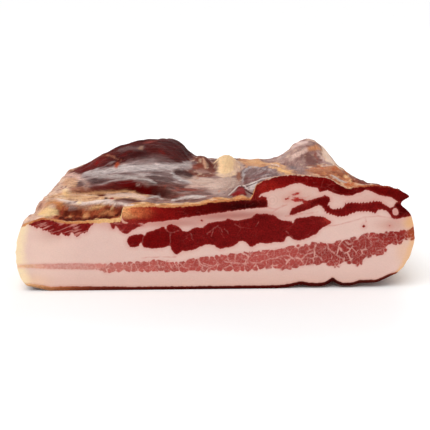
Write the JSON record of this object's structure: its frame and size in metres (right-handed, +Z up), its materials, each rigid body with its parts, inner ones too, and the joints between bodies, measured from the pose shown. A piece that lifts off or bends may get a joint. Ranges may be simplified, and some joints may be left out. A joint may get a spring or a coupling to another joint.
{
  "type": "pork belly slab",
  "caption": "Thick slab of air-dried pork belly lying rind down: one end knife-cut to show layered fat and lean, the top dried, folded and humped, the back end rounded.",
  "frame": {"origin": "middle of the slab's footprint, on the surface it rests on", "axes": "+X along the wide cut face, -Y out of the knife-cut face towards the viewer, +Z up from rind to top"},
  "size_m": [0.2542, 0.1772, 0.0754],
  "materials": {
    "cured_pork": "pale pink fat and dark red lean, moist on the cut, dry and waxy elsewhere"
  },
  "bodies": {
    "root": {"belly_slab": "cured_pork"}
  },
  "joints": []
}
